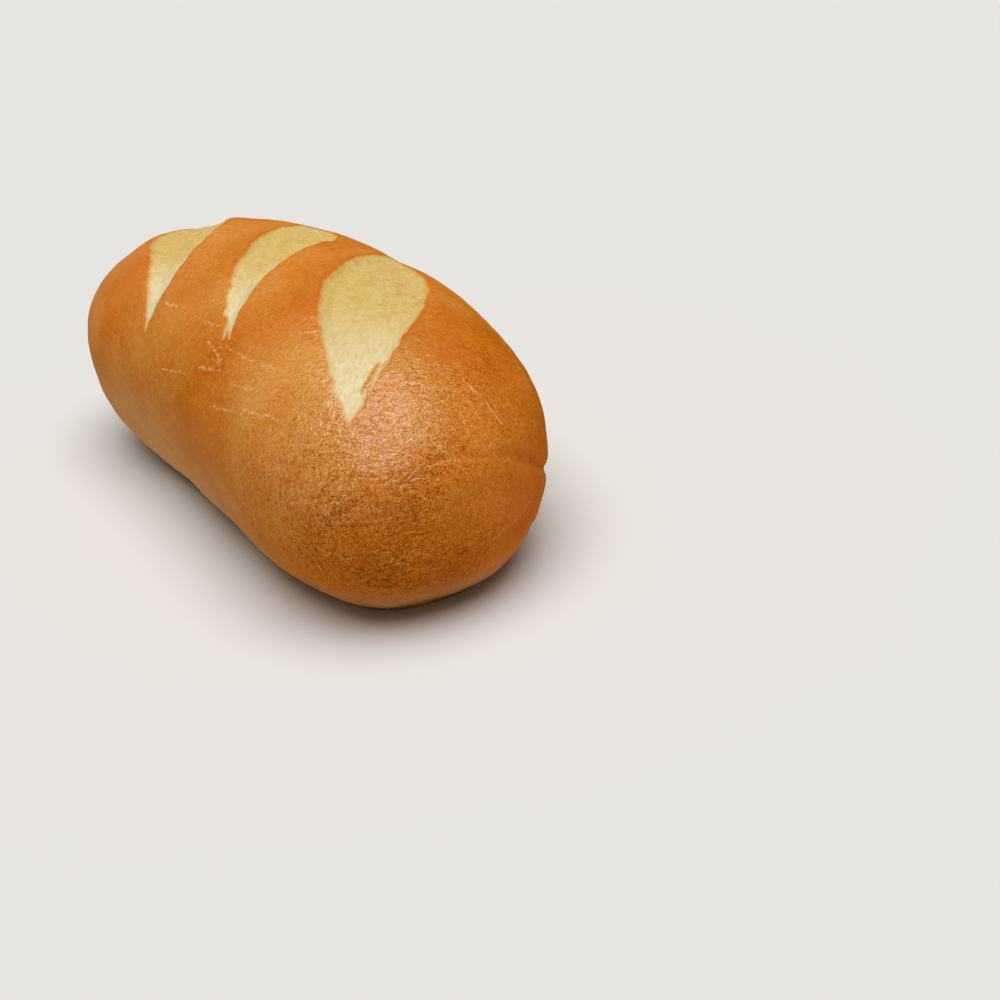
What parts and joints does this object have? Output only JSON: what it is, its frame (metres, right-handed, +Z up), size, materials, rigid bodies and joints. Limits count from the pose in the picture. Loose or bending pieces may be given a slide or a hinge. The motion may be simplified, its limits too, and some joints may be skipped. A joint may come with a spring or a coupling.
{
  "type": "sub roll",
  "caption": "Plump, slightly bowed bread roll with a glossy golden crust, a flat base and three slanting pale scores across its crown.",
  "frame": {"origin": "middle of the bounding box's base, on the surface the roll rests on", "axes": "+X along the roll towards its creased near end, -Y towards the front flank that the picture shows, +Z up"},
  "size_m": [0.15, 0.0654, 0.0526],
  "materials": {
    "crust": "baked golden crust, softly glossy, with pale matte crumb in the open scores"
  },
  "bodies": {
    "root": {"roll": "crust"}
  },
  "joints": []
}
